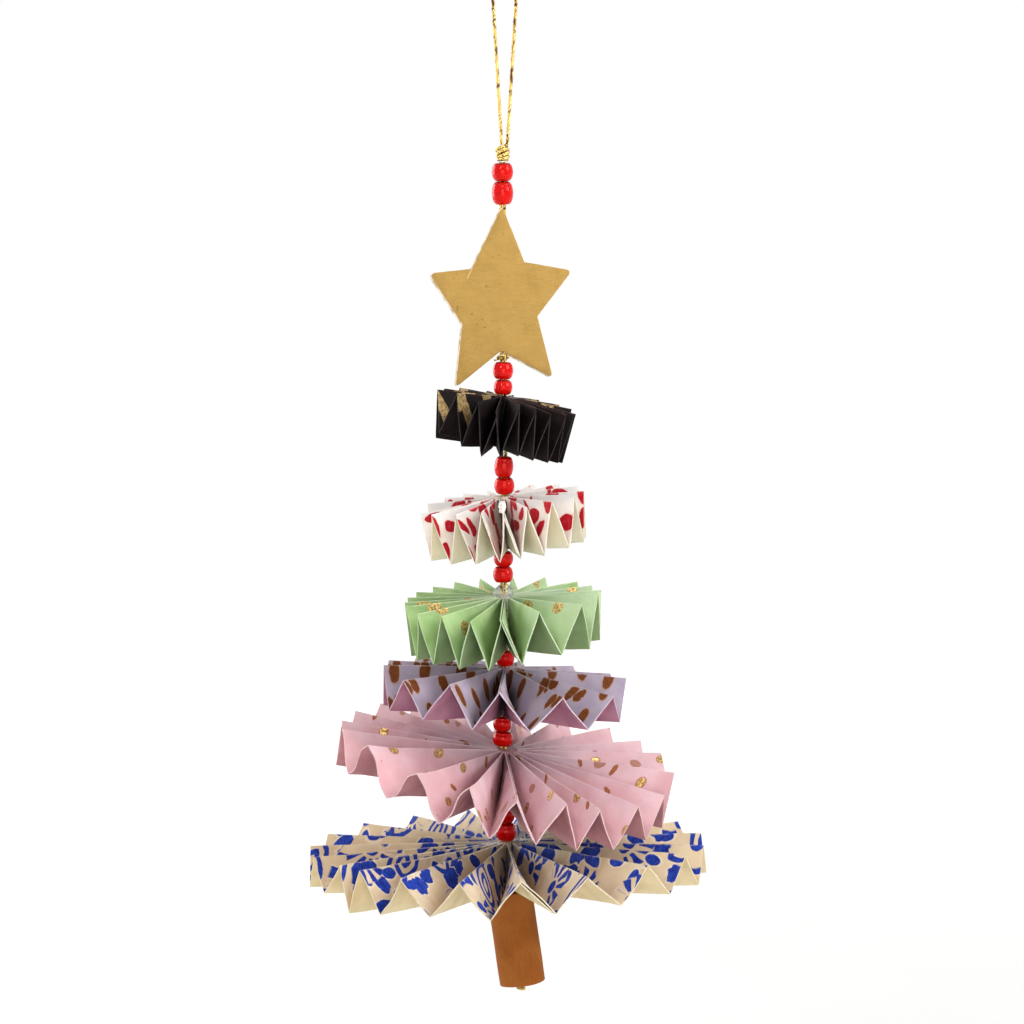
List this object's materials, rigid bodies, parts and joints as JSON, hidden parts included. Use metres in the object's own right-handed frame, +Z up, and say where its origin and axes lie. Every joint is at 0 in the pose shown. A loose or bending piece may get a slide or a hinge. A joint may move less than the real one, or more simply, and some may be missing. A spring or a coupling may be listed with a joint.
{
  "type": "paper fan ornament",
  "caption": "Hanging tree ornament: round pleated paper fans that grow toward the bottom, strung with red glass beads on a gold cord under a card star, over a rolled paper trunk.",
  "frame": {"origin": "top of the hanging loop", "axes": "+Z up along the cord, -Y the way the star faces, +X to the right of the front view"},
  "size_m": [0.0763, 0.0761, 0.1983],
  "materials": {
    "gold_cord": "twisted metallic gift cord",
    "gold_card": "matt gold painted card",
    "red_glass": "glossy translucent red",
    "paper_black": "printed on its upper face, matt",
    "paper_white": "printed on its upper face, matt",
    "paper_green": "printed on its upper face, matt",
    "paper_lilac": "printed on its upper face, matt",
    "paper_pink": "printed on its upper face, matt",
    "paper_cream": "printed on its upper face, matt",
    "paper_brown": "kraft paper rolled tight",
    "clear_glue": "clear hot glue",
    "white_glue": "dried white glue"
  },
  "bodies": {
    "root": {"hanging_loop": "gold_cord", "knot_top": "gold_cord", "knot_star": "gold_cord", "knot_end": "gold_cord", "stringing_cord": "gold_cord", "star_front": "gold_card", "star_back": "gold_card", "seam_lump": "white_glue", "trunk": "paper_brown", "bead_01": "red_glass", "bead_02": "red_glass", "bead_03": "red_glass", "bead_04": "red_glass", "bead_05": "red_glass", "bead_06": "red_glass", "bead_07": "red_glass", "bead_08": "red_glass", "bead_09": "red_glass", "bead_10": "red_glass", "bead_11": "red_glass", "bead_12": "red_glass", "bead_13": "red_glass", "fan_black": "paper_black", "fan_white": "paper_white", "fan_green": "paper_green", "fan_lilac": "paper_lilac", "fan_pink": "paper_pink", "fan_cream": "paper_cream", "glue_black": "clear_glue", "glue_white": "clear_glue", "glue_green": "clear_glue", "glue_lilac": "clear_glue", "glue_pink": "clear_glue", "glue_cream": "clear_glue", "glue_dab": "clear_glue"}
  },
  "joints": []
}
